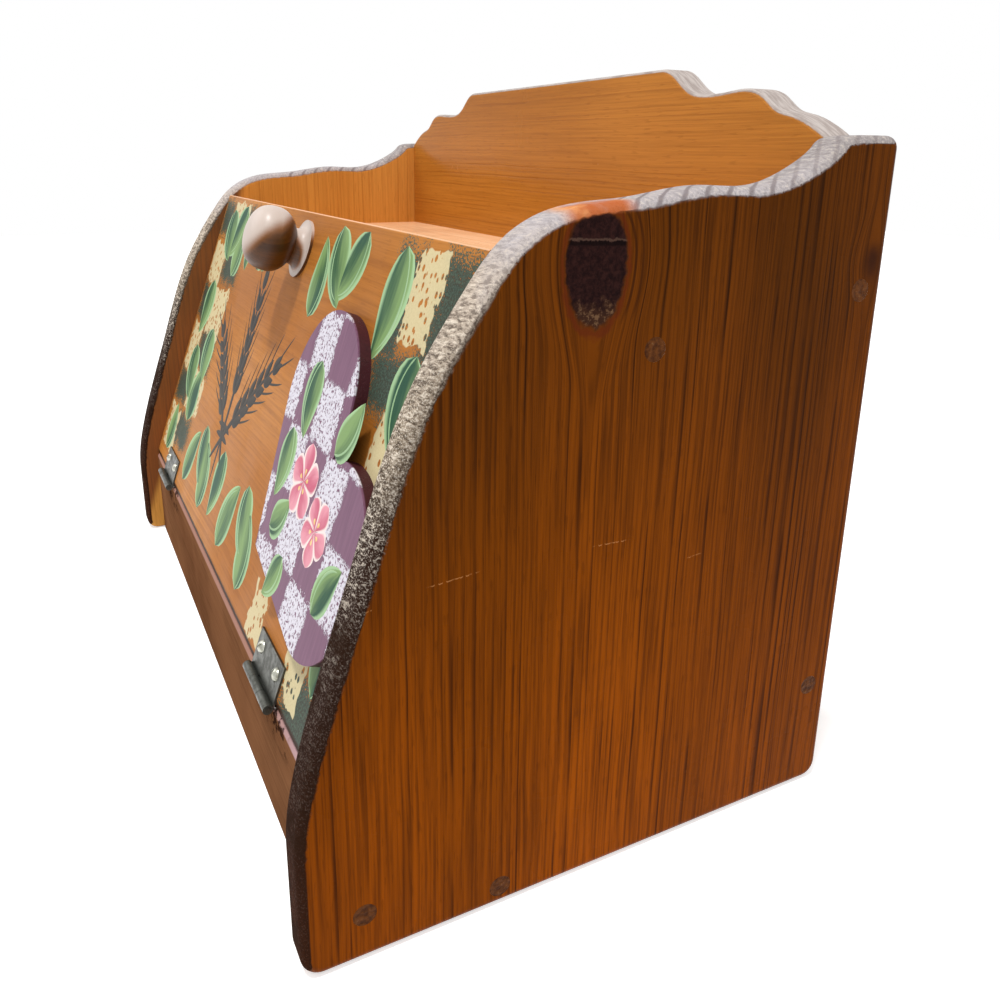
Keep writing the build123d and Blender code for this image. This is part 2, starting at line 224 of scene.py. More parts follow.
def make_knot():
    """A knot: how it pushes the growth lines aside, and its heart, ring, halo and weathered tip."""
    inputs = {"Across": 0.0, "Along": 0.0, "Centre Across": 0.0, "Centre Along": 0.0, "Half Width": 0.012,
              "Half Height": 0.02, "Softness": 0.06}
    w, given = new_group("knot", inputs, ["Push", "Heart", "Ring", "Halo", "Tip"])
    beside = w.minus(given["Across"], given["Centre Across"])
    above = w.minus(given["Along"], given["Centre Along"])
    wide, high = given["Half Width"], given["Half Height"]
    reach = w.math("DIVIDE", above, high)
    push = w.math("EXPONENT", w.times(w.times(reach, reach), -1.0))
    spread = w.plus(w.times(wide, wide, push, 1.6), 0.000001)
    near = w.math("EXPONENT", w.math("DIVIDE", w.times(beside, beside, -1.0), spread))
    pushed = w.times(beside, near, -1.0)
    ragged = w.noise_along(w.times(beside, 260.0), w.times(above, 260.0), 0.0, 3.0)
    # The knot is drawn out towards its lower end
    from_side = w.math("DIVIDE", beside, wide)
    from_level = w.times(reach, w.ease(above, -0.004, 0.008, 1.0, 1.38))
    distance = w.math("SQRT", w.plus(w.times(from_side, from_side), w.times(from_level, from_level)))
    ragged_distance = w.plus(distance, w.times(w.minus(ragged, 0.5), 0.22))
    heart = w.ease(w.math("DIVIDE", w.minus(1.0, ragged_distance), given["Softness"]), 0.0, 1.0)
    ring = w.times(w.ease(ragged_distance, 0.94, 1.0), w.ease(ragged_distance, 1.14, 1.03))
    waves = w.math("SINE", w.times(distance, 27.0))
    one_side = w.times(w.ease(beside, -0.012, 0.008, 0.3, 1.0), w.ease(from_level, -1.0, -0.6))
    around_heart = w.times(w.ease(distance, 1.05, 1.15), w.ease(distance, 1.75, 1.4))
    halo = w.times(around_heart, w.ease(waves, 0.1, 0.95), one_side)
    tip = w.times(heart, w.ease(w.plus(from_level, w.times(w.minus(ragged, 0.5), 0.7)), -0.52, -0.78))
    return close_group(w, {"Push": pushed, "Heart": heart, "Ring": ring, "Halo": halo, "Tip": tip})


def make_worn_edge():
    """A rough sawn scrolled edge: where it lies, its tears, pits and blotches, and a border for painted
    shade.
    """
    results = ["Edge", "Bristle", "Pit", "Blotch", "Border"]
    w, given = new_group("worn edge", {"Position": None, "Facing": None}, results)
    side_facing, front_facing, up_facing = w.split(given["Facing"])
    x, y, z = w.split(given["Position"])
    sideways = w.math("ABSOLUTE", side_facing)
    frayed = w.noise(given["Position"], 420.0, 2.0, 0.6)
    rounded = w.plus(sideways, w.times(w.minus(frayed, 0.5), w.ease(z, 0.20, 0.25, 0.03, 0.008)))
    outward = w.minus(up_facing, front_facing)
    edge = w.times(w.ease(rounded, 0.985, 0.955), w.ease(outward, 0.08, 0.2))
    # Painted shade along the border where the edge meets the face, below its top
    border = w.times(w.ease(rounded, 0.80, 0.92), w.ease(z, 0.26, 0.23))
    stretched = w.join(w.times(x, 0.3), w.minus(y, w.times(x, 0.1)), w.minus(z, w.times(x, 0.1)))
    bristle = w.noise(stretched, 760.0, 4.0, 0.66, 0.3)
    pit = w.noise(given["Position"], 1500.0, 3.0, 0.65)
    blotch = w.noise(given["Position"], 60.0, 3.0, 0.6)
    return close_group(w, dict(zip(results, (edge, bristle, pit, blotch, border))))


def make_scuffs():
    """Marks where handling has dulled the varnish."""
    w, given = new_group("scuffs", {"Position": None}, ["Dull"])
    return close_group(w, {"Dull": w.noise(given["Position"], 22.0, 4.0, 0.6)})


def make_nick():
    """One fine scratch, nearly level, drawn on a board."""
    inputs = {"Across": 0.0, "Along": 0.0, "Centre Across": 0.0, "Centre Along": 0.0, "Half Length": 0.01,
              "Slope": 0.1}
    w, given = new_group("nick", inputs, ["Mask"])
    beside = w.minus(given["Across"], given["Centre Across"])
    level = w.minus(w.minus(given["Along"], given["Centre Along"]), w.times(beside, given["Slope"]))
    broken = w.noise_along(w.times(beside, 700.0), w.times(given["Along"], 90.0), 0.0, 2.0)
    from_line = w.math("ABSOLUTE", w.plus(level, w.times(w.minus(broken, 0.5), 1.6 * MM)))
    thin = w.ease(from_line, 0.3 * MM, 0.08 * MM)
    ends = w.ease(w.math("DIVIDE", w.math("ABSOLUTE", beside), given["Half Length"]), 1.0, 0.6)
    return close_group(w, {"Mask": w.times(thin, ends, w.ease(broken, 0.40, 0.58))})


def make_dab():
    """How deep a place on the door's plan lies in one dab of paint: 1 in its middle, 0 on its border."""
    inputs = {"X": 0.0, "V": 0.0, "Centre X": 0.0, "Centre V": 0.0, "Half Width": 0.01, "Half Height": 0.02}
    w, given = new_group("dab of paint", inputs, ["Depth"])
    across = w.math("DIVIDE", w.minus(given["X"], given["Centre X"]), given["Half Width"])
    up = w.math("DIVIDE", w.minus(given["V"], given["Centre V"]), given["Half Height"])
    share_out = w.most(w.math("ABSOLUTE", across), w.math("ABSOLUTE", up))
    return close_group(w, {"Depth": w.minus(1.0, share_out)})


PINE = make_pine_figure()
KNOT = make_knot()
WORN_EDGE = make_worn_edge()
SCUFFS = make_scuffs()
NICK = make_nick()
DAB = make_dab()


def new_material(name):
    """An empty material and its wiring."""
    material = bpy.data.materials.new(name)
    material.use_nodes = True
    material.node_tree.nodes.clear()
    return material, Wiring(material.node_tree)


def finish_material(w, shader_inputs, height, depth, shine=0.5):
    """Join a Principled surface, with a bump of a depth where the height is 1, to the output."""
    bump = w.add("ShaderNodeBump", {"Height": height, "Distance": depth}).outputs["Normal"]
    inputs = {**shader_inputs, "Specular IOR Level": shine, "Normal": bump}
    surface = w.add("ShaderNodeBsdfPrincipled", inputs)
    w.add("ShaderNodeOutputMaterial", {"Surface": surface.outputs["BSDF"]})


def board_axes(w, along_axis, across_axis, through_axis):
    """How far across, along and through the board a point lies."""
    places = dict(zip("XYZ", w.split(w.position())))
    return places[across_axis], places[along_axis], places[through_axis]


def varnished_colour(w, figure, pale, base, line, line_share, fibre_share):
    """Pine under varnish: a base between two tones, darker growth lines, fine fibres and flecks."""
    colour = w.mix(w.ease(figure["Tone"], 0.3, 0.7), base, pale)
    colour = w.mix(w.times(w.ease(figure["Fibre"], 0.35, 0.75), fibre_share), colour, line)
    colour = w.mix(w.times(figure["Line"], line_share), colour, line)
    return w.mix(w.times(figure["Fleck"], 0.22), colour, line)


def scuffed_roughness(w, low, high):
    """A gloss that handling has dulled in places, as a roughness between two values."""
    return w.ease(w.use(SCUFFS, {"Position": w.position()})["Dull"], 0.3, 0.7, low, high)


def door_plan(w):
    """The place on the door's plan: x along it, v up its slope and how far out of its face."""
    from_foot = w.add("ShaderNodeVectorMath", {0: w.position(), 1: door_origin}, operation="SUBTRACT")
    inputs = {"Vector": from_foot.outputs[0], "Rotation": (lean - pi / 2, 0, 0)}
    return w.add("ShaderNodeMapping", inputs).outputs[0]


def around(across, along, centre_across, centre_along, shape):
    """Inputs of a group drawn around a place on a board, with the place in millimetres."""
    place = {"Centre Across": centre_across * MM, "Centre Along": centre_along * MM}
    return {"Across": across, "Along": along, **place, **shape}


# The right side's dark and faint knot: centre across and along, half width, half height in mm, softness
side_knots = [(-14, 250.5, 13.0, 24.5, 0.12), (117, 245, 7, 13, 0.9)]
# The crack across the dark knot: the height of its pale lip, its slope, and how far under the lip it runs
crack_height = 256.5 * MM
crack_slope = 0.04
crack_drop = 1.2 * MM
# Scratches as centre across and along the board and half length in millimetres, and slope
side_scratches = [(-66, 146, 11, 0.08), (-2, 146.5, 9, -0.03), (38, 133, 4, 0.1), (-98, 141, 4, 0.2)]


def add_side_knots(w, across, along):
    """The dark and the faint knot of the right side board."""
    knots = []
    for centre_across, centre_along, half_width, half_height, softness in side_knots:
        shape = {"Half Width": half_width * MM, "Half Height": half_height * MM, "Softness": softness}
        knots.append(w.use(KNOT, around(across, along, centre_across, centre_along, shape)))
    return knots


def side_varnish_colour(w, figure, across, along, through):
    """Varnish with painted shade at the top, the scrolled edge and the rear, and painted light on inner
    faces.
    """
    # Painted shade: the varnish darkens towards the top
    top_shade_share = w.ease(along, 0.03, 0.27)
    pale = w.mix(top_shade_share, srgb(164, 80, 2), srgb(110, 56, 8))
    base = w.mix(top_shade_share, srgb(136, 66, 1), srgb(92, 47, 5))
    line = w.mix(top_shade_share, srgb(56, 22, 1), srgb(38, 17, 4))
    colour = varnished_colour(w, figure, pale, base, line, 1.0, 0.6)
    # Painted shade towards the scrolled edge at the front and towards the rear
    shade = w.plus(w.ease(across, -0.05, -0.12, 0.0, 0.32), w.ease(across, 0.01, 0.08, 0.0, 0.16))
    colour = w.mix(shade, colour, line)
    side_facing, _, _ = w.split(w.facing())
    # Painted light: the inner faces are lighter and greyer than the outer ones
    lit_inner_face = w.ease(w.times(side_facing, w.math("SIGN", through)), 0.2, -0.2)
    colour = w.mix(w.times(lit_inner_face, 0.4), colour, srgb(150, 104, 70))
    # Behind the door they are painted lighter still, as painted bounce light
    _, _, before_door = w.split(door_plan(w))
    inside = w.times(lit_inner_face, w.ease(before_door, -0.004, -0.010))
    lit_inner_tones = srgb(226, 164, 82), srgb(206, 142, 64), srgb(158, 96, 38)
    return w.mix(inside, colour, varnished_colour(w, figure, *lit_inner_tones, 0.5, 0.3))


def add_knot_colour(w, colour, knots, grit, across, along, right_board):
    """Both knots over the varnish: halo, ring and heart, with the dark one's weathered tip and crack."""
    dark_knot, faint_knot = knots
    colour = w.mix(w.times(dark_knot["Halo"], right_board, 0.6), colour, srgb(44, 20, 8))
    colour = w.mix(w.times(dark_knot["Ring"], right_board, 0.7), colour, srgb(92, 36, 14))
    heart = w.mix(w.ease(grit, 0.38, 0.66), srgb(28, 13, 13), srgb(50, 27, 24))
    tip = w.mix(w.ease(grit, 0.50, 0.60), srgb(62, 38, 26), srgb(118, 88, 62))
    heart = w.mix(w.times(dark_knot["Tip"], 0.8), heart, tip)
    uneven = w.times(w.minus(grit, 0.5), 3 * MM)
    from_crack = w.plus(along, w.times(across, crack_slope), uneven, -crack_height)
    crack = w.ease(w.math("ABSOLUTE", w.plus(from_crack, crack_drop)), 1.0 * MM, 0.4 * MM)
    lip = w.ease(w.math("ABSOLUTE", from_crack), 0.6 * MM, 0.2 * MM)
    heart = w.mix(w.times(crack, 0.8), heart, srgb(14, 6, 6))
    heart = w.mix(w.times(lip, 0.45), heart, srgb(104, 80, 68))
    colour = w.mix(w.times(dark_knot["Heart"], right_board), colour, heart)
    return w.mix(w.times(faint_knot["Heart"], right_board, 0.75), colour, srgb(38, 17, 12))


def add_scratches(w, colour, across, along, right_board):
    """The right side's fine scratches."""
    for centre_across, centre_along, half_length, slope in side_scratches:
        shape = {"Half Length": half_length * MM, "Slope": slope}
        nick = w.use(NICK, around(across, along, centre_across, centre_along, shape))
        colour = w.mix(w.times(nick["Mask"], right_board, 0.6), colour, srgb(196, 134, 78))
    return colour


# Tones of the sawn edge by share of this height, from the dark foot to the pale top
wear_span = 300 * MM
edge_tones = [(0.00, srgb(66, 31, 12)), (0.24, srgb(52, 30, 20)), (0.36, srgb(56, 40, 34)),
              (0.54, srgb(72, 58, 52)), (0.66, srgb(170, 154, 134)), (0.79, srgb(198, 182, 166)),
              (0.88, srgb(188, 180, 181)), (0.96, srgb(164, 156, 154))]
# Growth lines cross the top of the edge aslant: how fast they turn across and through the board
stripe_turns = (628.0, 716.0)
# Amber varnish is left above the dark knot, around this place across the board
amber_across = -12.5 * MM


def sawn_edge_colour(w, worn, torn, across, along, through, right_board):
    """Rough sawn edge: pale grey on top, pitted dark brown near the foot, with painted shade and highlights.
    """
    blotch = worn["Blotch"]
    wear_height = w.plus(along, w.times(w.minus(blotch, 0.5), 0.05))
    colour = w.ramp(w.times(wear_height, 1 / wear_span), edge_tones)
    # Painted relief: shade in the hollows of the tears and highlights on their ridges
    hollow_shade = w.times(w.ease(worn["Bristle"], 0.50, 0.41), torn, 0.95)
    colour = w.mix(hollow_shade, colour, w.mix(0.7, colour, srgb(44, 28, 20)))
    ridge_highlight = w.times(w.ease(worn["Bristle"], 0.53, 0.62), torn, w.ease(along, 0.10, 0.17, 0.05, 0.9))
    colour = w.mix(ridge_highlight, colour, srgb(236, 222, 204))
    pits = w.times(w.ease(worn["Pit"], 0.48, 0.40), w.ease(along, 0.24, 0.12, 0.1, 0.9))
    colour = w.mix(pits, colour, srgb(44, 28, 22))
    crumb_share = w.times(w.ease(along, 0.24, 0.20), w.ease(along, 0.05, 0.15, 0.2, 0.95))
    crumb_tone = w.mix(w.ease(along, 0.12, 0.18), srgb(130, 116, 108), srgb(236, 224, 208))
    colour = w.mix(w.times(w.ease(worn["Pit"], 0.55, 0.62), crumb_share), colour, crumb_tone)
    # Dark blotches low on the edge, and painted shade along its outer side and its border
    dark_blotch = w.times(w.ease(blotch, 0.51, 0.60), w.ease(along, 0.17, 0.13), 0.8)
    outer_side = w.ease(w.math("ABSOLUTE", through), 221.5 * MM, 227 * MM)
    outer_shade = w.times(outer_side, w.ease(along, 0.24, 0.18), 0.45)
    dark_share = w.most(dark_blotch, outer_shade, w.times(worn["Border"], 0.6))
    colour = w.mix(dark_share, colour, srgb(44, 26, 16))
    turns_across, turns_through = stripe_turns
    slant = w.plus(w.times(across, turns_across), w.times(through, turns_through), w.times(blotch, 2.5))
    stripe = w.times(w.ease(w.math("SINE", slant), 0.5, 1.0), w.ease(across, -0.006, 0.002),
                     w.ease(across, 0.06, 0.08, 1.0, 0.5), w.ease(worn["Bristle"], 0.3, 0.6, 0.6, 1.0))
    colour = w.mix(w.times(stripe, 0.65), colour, srgb(96, 82, 84))
    from_amber = w.math("ABSOLUTE", w.minus(across, amber_across))
    amber_place = w.times(w.ease(from_amber, 16.5 * MM, 8.5 * MM), w.ease(along, 0.2, 0.25), right_board)
    outer_half = w.ease(w.plus(w.times(w.minus(blotch, 0.5), 0.03), through), 0.211, 0.223, 0.15, 1.0)
    amber = w.times(amber_place, 0.92, outer_half)
    amber_tone = w.mix(w.ease(blotch, 0.42, 0.62), srgb(184, 92, 30), srgb(226, 154, 92))
    return w.mix(amber, colour, amber_tone)


def make_side_wood():
    """Upright pine, dark outside, with a knot near the top of one side and a rough grey scrolled edge."""
    material, w = new_material("side_wood")
    across, along, through = board_axes(w, "Z", "Y", "X")
    right_board = w.ease(through, 0.1, 0.2)
    knots = add_side_knots(w, across, along)
    bent = across
    for knot in knots:
        bent = w.plus(bent, w.times(knot["Push"], right_board))
    figure = w.use(PINE, {"Across": bent, "Along": along, "Through": through, "Line Spacing": 0.0034,
                          "Wander": 0.012})
    grit = w.noise(w.position(), 420.0, 5.0, 0.75)
    colour = side_varnish_colour(w, figure, across, along, through)
    colour = add_knot_colour(w, colour, knots, grit, across, along, right_board)
    colour = add_scratches(w, colour, across, along, right_board)
    worn = w.use(WORN_EDGE, {"Position": w.position(), "Facing": w.facing()})
    is_edge = worn["Edge"]
    torn = w.times(w.ease(along, 0.262, 0.225, 0.3, 1.0), w.ease(along, 0.05, 0.085, 0.25, 1.0))
    edge_colour = sawn_edge_colour(w, worn, torn, across, along, through, right_board)
    colour = w.mix(is_edge, colour, edge_colour)
    roughness = w.most(scuffed_roughness(w, 0.24, 0.38), w.times(is_edge, 0.9))
    knot_grit = w.times(knots[0]["Heart"], right_board, grit, 0.9)
    smooth = w.plus(w.times(figure["Line"], -0.15), w.times(figure["Fibre"], 0.12), knot_grit)
    rough = w.plus(w.times(worn["Bristle"], torn, 4.0), w.times(worn["Pit"], 0.9))
    height = w.plus(w.times(smooth, w.minus(1.0, is_edge)), w.times(rough, is_edge))
    finish_material(w, {"Base Color": colour, "Roughness": roughness}, height, 0.35 * MM, 0.02)
    return material


def make_board_wood(name, axes, tones, spacing, worn_crest=False, lit_front_edge=None):
    """A varnished pine board, with the axes that run along, across and through it."""
    material, w = new_material(name)
    across, along, through = board_axes(w, *axes)
    figure = w.use(PINE, {"Across": across, "Along": along, "Through": through, "Line Spacing": spacing,
                          "Wander": 0.008})
    colour = varnished_colour(w, figure, *tones, 0.5, 0.35)
    roughness = scuffed_roughness(w, 0.16, 0.28)
    height = w.plus(w.times(figure["Line"], -0.15), w.times(figure["Fibre"], 0.1))
    if lit_front_edge is not None:
        # The front edge is painted pale as painted light from above
        behind_front = w.minus(w.plus(across, w.times(figure["Fibre"], 4 * MM)), lit_front_edge)
        colour = w.mix(w.ease(behind_front, 11 * MM, 5 * MM, 0.0, 0.8), colour, srgb(232, 176, 130))
    if worn_crest:
        _, _, facing_up = w.split(w.facing())
        edge = w.ease(facing_up, 0.25, 0.45)
        places = w.times(along, 90.0), w.times(through, 700.0), w.times(across, 90.0)
        streaks = w.noise_along(*places, 3.0, 0.6)
        sawn = w.mix(w.ease(streaks, 0.35, 0.65), srgb(158, 146, 140), srgb(188, 178, 172))
        colour = w.mix(edge, colour, sawn)
        roughness = w.most(roughness, w.times(edge, 0.75))
        height = w.plus(height, w.times(edge, streaks, 0.9))
    finish_material(w, {"Base Color": colour, "Roughness": roughness}, height, 0.25 * MM, 0.08)
    return material


def near_hinges(w, along):
    """How near a place along the rail lies to a spot just right of either hinge's middle."""
    nearest = 0.0
    for hand in ("left", "right"):
        low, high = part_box(f"{hand}_hinge_rail_leaf")
        gap = w.math("ABSOLUTE", w.minus(along, (low.x + high.x) / 2 + 10 * MM))
        nearest = w.most(nearest, w.ease(gap, 34 * MM, 18 * MM))
    return nearest


def make_rail_wood():
    """Brown varnish on the rail, chipped dark by hinges, its top edge worn pale with a painted highlight."""
    material, w = new_material("rail_wood")
    across, along, through = board_axes(w, "X", "Z", "Y")
    figure = w.use(PINE, {"Across": across, "Along": along, "Through": through, "Line Spacing": 0.009,
                          "Wander": 0.008})
    colour = varnished_colour(w, figure, srgb(138, 96, 66), srgb(118, 78, 52), srgb(78, 48, 30), 0.5, 0.4)
    # Painted shade: the rail is darker towards its bottom
    colour = w.mix(w.ease(across, 48 * MM, 12 * MM, 0.0, 0.35), colour, srgb(88, 54, 34))
    # Pale cloudy patches of painted sheen
    cloud = w.noise(w.position(), 22.0)
    colour = w.mix(w.ease(cloud, 0.36, 0.66, 0.0, 0.3), colour, srgb(156, 108, 74))
    _, _, facing_up = w.split(w.facing())
    # The top edge is worn pale, partly a painted highlight
    arris_wear_and_highlight = w.times(w.ease(facing_up, 0.12, 0.4), w.ease(facing_up, 0.98, 0.85))
    arris_wear_and_highlight_tone = w.mix(w.ease(along, 130 * MM, 190 * MM), srgb(178, 136, 124), srgb(198, 166, 172))
    colour = w.mix(w.times(arris_wear_and_highlight, 0.7), colour, arris_wear_and_highlight_tone)
    # Painted shadow on the top face, under the door
    colour = w.mix(w.ease(facing_up, 0.985, 0.999), colour, srgb(40, 23, 16))
    # The leaves of the hinges have bruised the edge around them
    bruises = w.ease(w.noise(w.position(), 190.0, 4.0, 0.65), 0.50, 0.55)
    chip = w.times(bruises, near_hinges(w, along), w.ease(across, 42 * MM, 52 * MM))
    colour = w.mix(w.times(chip, 0.9), colour, srgb(38, 22, 18))
    roughness = scuffed_roughness(w, 0.34, 0.5)
    height = w.plus(w.times(figure["Fibre"], 0.12), w.times(chip, -1.0))
    finish_material(w, {"Base Color": colour, "Roughness": roughness}, height, 0.3 * MM, 0.0)
    return material


def paint_depth(w, x, v, dabs):
    """How deep a place on the door's plan lies in the nearest of several dabs."""
    depths = []
    for centre_x, centre_v, half_width, half_height in dabs:
        inputs = {"X": x, "V": v, "Centre X": centre_x * MM, "Centre V": centre_v * MM,
                  "Half Width": half_width * MM, "Half Height": half_height * MM}
        depths.append(w.use(DAB, inputs)["Depth"])
    return w.most(*depths)


# Sponged dabs at the door's ends as x, v, half width and half height in millimetres
cream_dabs = [
    (172, 178, 14, 19), (200, 146, 9, 13), (186, 100, 20, 30), (160, 20, 12, 14), (196, 34, 12, 22),
    (-186, 26, 18, 16), (-146, 62, 22, 15), (-190, 88, 16, 18), (-148, 120, 22, 17), (-188, 152, 18, 15),
    (-154, 188, 24, 9), (100, 14, 12, 12)]
teal_dabs = [
    (197, 174, 16, 26), (150, 172, 13, 26), (186, 60, 16, 14), (176, 8, 24, 16), (166, 142, 26, 14),
    (-152, 32, 24, 12), (-188, 58, 20, 13), (-150, 92, 26, 14), (-190, 122, 20, 14), (-146, 154, 26, 14),
    (-194, 184, 16, 14), (-124, 184, 20, 12)]


def make_painted_door():
    """Pine along the door with sponged cream and teal dabs at its ends."""
    material, w = new_material("painted_door")
    plan = door_plan(w)
    along, across, out = w.split(plan)
    figure = w.use(PINE, {"Across": across, "Along": along, "Through": out, "Line Spacing": 0.011,
                          "Wander": 0.02})
    tones = srgb(192, 126, 58), srgb(170, 104, 40), srgb(124, 70, 26)
    colour = varnished_colour(w, figure, *tones, 0.4, 0.35)
    on_face = w.ease(out, -1.2 * MM, -0.4 * MM)
    sponge = w.noise(plan, 950.0, 3.0, 0.62)
    sway = w.noise(plan, 80.0, 2.0, 0.55)
    uneven_x = w.plus(along, w.times(w.minus(sway, 0.5), 12 * MM))
    uneven_v = w.plus(across, w.times(w.minus(sway, 0.5), -16 * MM))
    teal = w.plus(paint_depth(w, uneven_x, uneven_v, teal_dabs), w.times(w.minus(sponge, 0.5), 2.4))
    teal_cover = w.times(w.ease(teal, 0.0, 0.22), on_face)
    teal_tone = w.mix(w.ease(sponge, 0.40, 0.64), srgb(14, 52, 52), srgb(48, 90, 82))
    colour = w.mix(w.times(teal_cover, 0.9), colour, teal_tone)
    # The cream is left open in small upright flecks
    fleck_map = w.add("ShaderNodeMapping", {"Vector": plan, "Scale": (310.0, 230.0, 1.0)}).outputs[0]
    flecks = w.add("ShaderNodeTexVoronoi", {"Vector": fleck_map, "Scale": 1.0, "Randomness": 0.9})
    from_fleck = w.plus(flecks.outputs["Distance"], w.times(w.minus(sponge, 0.5), 0.25))
    cream = paint_depth(w, uneven_x, uneven_v, cream_dabs)
    cream_cover = w.times(w.ease(cream, 0.0, 0.05), w.ease(from_fleck, 0.31, 0.37), on_face)
    cream_tone = w.mix(sponge, srgb(224, 212, 168), srgb(198, 180, 138))
    colour = w.mix(w.times(cream_cover, 0.95), colour, cream_tone)
    # Painted light makes the upper edge pale
    _, _, facing_up = w.split(w.facing())
    colour = w.mix(w.ease(facing_up, 0.6, 0.85, 0.0, 0.85), colour, srgb(232, 182, 142))
    # Painted shadow from the gap darkens the lower edge and the face just above it
    low_on_face = w.times(w.ease(w.plus(across, w.times(sway, 1.2 * MM)), 3 * MM, 1.4 * MM), on_face)
    gap_shadow = w.most(w.ease(facing_up, -0.5, -0.8), low_on_face)
    colour = w.mix(gap_shadow, colour, srgb(52, 30, 18))
    roughness = scuffed_roughness(w, 0.3, 0.44)
    height = w.plus(w.times(figure["Fibre"], 0.1), w.times(cream_cover, 0.3), w.times(teal_cover, 0.15))
    finish_material(w, {"Base Color": colour, "Roughness": roughness}, height, 0.25 * MM, 0.03)
    return material


# The heart's check: the size of a square, and the middle of one on the door's plan
check_size = 27 * MM
check_x = 128 * MM
check_v = 92 * MM


def make_painted_heart():
    """A plum check with sponged white squares on the face, and a dark maroon wall."""
    material, w = new_material("painted_heart")
    plan = door_plan(w)
    x, v, out = w.split(plan)
    sponge = w.noise(plan, 640.0, 3.0, 0.66)
    blur = w.times(w.minus(sponge, 0.5), 10 * MM)
    wobble = w.times(w.minus(w.noise(plan, 150.0, 3.0, 0.6), 0.5), 7 * MM)
    half = check_size / 2
    parity = []
    for place, centre in ((x, check_x), (v, check_v)):
        # Ten squares are added so that the place is above zero all over the heart
        in_square = w.math("PINGPONG", w.plus(place, wobble, 10 * check_size - centre), check_size)
        parity.append(w.ease(w.plus(in_square, blur), half - 0.3 * MM, half + 0.3 * MM))
    checked = w.math("ABSOLUTE", w.minus(*parity))
    brushed = w.add("ShaderNodeMapping", {"Vector": plan, "Scale": (700.0, 60.0, 60.0)}).outputs[0]
    streaks = w.noise(brushed, 1.0, 3.0)
    plum = w.mix(streaks, srgb(100, 64, 88), srgb(134, 94, 118))
    white = w.times(checked, w.ease(sponge, 0.60, 0.53))
    colour = w.mix(w.times(white, 0.94), plum, w.mix(sponge, srgb(236, 234, 240), srgb(204, 198, 212)))
    on_face = w.ease(out, heart_thickness - 1.2 * MM, heart_thickness - 0.4 * MM)
    wall = w.mix(sponge, srgb(50, 24, 28), srgb(78, 38, 42))
    colour = w.mix(on_face, wall, colour)
    height = w.plus(w.times(white, 0.5), w.times(streaks, 0.2))
    finish_material(w, {"Base Color": colour, "Roughness": 0.4}, height, 0.3 * MM, 0.1)
    return material


def make_leaf_paint(name, dark, middle, light, streak_size=5.0, rim_share=0.9):
    """Brush paint that goes from dark to a middle tone across a stroke, with a light rim on both sides."""
    material, w = new_material(name)
    along, across, _ = w.split(w.add("ShaderNodeTexCoord").outputs["UV"])
    places = w.times(along, 1.2), w.times(across, streak_size), w.times(along, 0.3)
    bristles = w.noise_along(*places, 2.0, 0.6)
    tone = w.noise(w.position(), 22.0, 1.0)
    clouds = w.plus(w.times(w.minus(bristles, 0.5), 0.8), w.times(w.minus(tone, 0.5), 1.2))
    share = w.plus(w.times(across, 0.9), w.times(along, 0.3), clouds)
    colour = w.mix(w.ease(share, 0.25, 0.95), dark, middle)
    from_middle = w.math("ABSOLUTE", w.minus(across, 0.5))
    rim = w.ease(w.plus(from_middle, w.times(w.minus(bristles, 0.5), 0.12)), 0.33, 0.44)
    colour = w.mix(w.times(rim, rim_share), colour, light)
    finish_material(w, {"Base Color": colour, "Roughness": 0.45}, bristles, 0.1 * MM, 0.08)
    return material


def make_knob_wood():
    """Dark glossy varnish over turned pine, with a painted highlight on its top and front."""
    material, w = new_material("knob_wood")
    across, along, through = board_axes(w, "Y", "Z", "X")
    figure = w.use(PINE, {"Across": across, "Along": along, "Through": through, "Line Spacing": 0.005,
                          "Wander": 0.004})
    colour = varnished_colour(w, figure, srgb(96, 54, 12), srgb(70, 37, 6), srgb(38, 19, 4), 0.6, 0.45)
    # The top and the front are painted pale as a painted highlight
    highlight_side = (-0.14, -0.30, 0.94)
    facing_highlight = w.add("ShaderNodeVectorMath", {0: w.facing(), 1: highlight_side}, operation="DOT_PRODUCT")
    highlight_share = w.plus(facing_highlight.outputs["Value"], w.times(w.minus(figure["Tone"], 0.5), 0.3))
    colour = w.mix(w.ease(highlight_share, -0.04, 0.30, 0.0, 0.85), colour, srgb(140, 86, 38))
    colour = w.mix(w.ease(highlight_share, 0.14, 0.52, 0.0, 0.85), colour, srgb(208, 194, 184))
    finish_material(w, {"Base Color": colour, "Roughness": 0.36}, figure["Fibre"], 0.05 * MM, 0.35)
    return material


def make_metal(name, base, tarnish, gloss):
    """Plated steel with cloudy tarnish and fine scratches."""
    material, w = new_material(name)
    cloud = w.noise(w.position(), 260.0, 4.0, 0.6)
    fine = w.noise(w.position(), 2400.0, 2.0)
    streaks = w.add("ShaderNodeMapping", {"Vector": w.position(), "Scale": (300.0, 4000.0, 2500.0)})
    scratch = w.ease(w.noise(streaks.outputs[0], 1.0, 2.0), 0.62, 0.75)
    colour = w.mix(w.ease(cloud, 0.42, 0.68), base, tarnish)
    roughness = w.plus(w.ease(cloud, 0.3, 0.7, gloss, gloss + 0.2), w.times(scratch, 0.1))
    metallic = w.ease(cloud, 0.45, 0.75, 1.0, 0.7)
    height = w.plus(w.times(fine, 0.3), w.times(scratch, -0.4))
    surface = {"Base Color": colour, "Metallic": metallic, "Roughness": roughness}
    finish_material(w, surface, height, 0.05 * MM)
    return material


def make_filler():
    """Brown filler under the varnish, a little sunk and uneven."""
    material, w = new_material("wood_filler")
    cloud = w.noise(w.position(), 500.0, 4.0, 0.6)
    colour = w.mix(w.ease(cloud, 0.3, 0.65), srgb(62, 31, 11), srgb(100, 56, 22))
    colour = w.mix(w.ease(cloud, 0.62, 0.72, 0.0, 0.5), colour, srgb(140, 108, 74))
    finish_material(w, {"Base Color": colour, "Roughness": 0.45}, cloud, 0.5 * MM, 0.05)
    return material


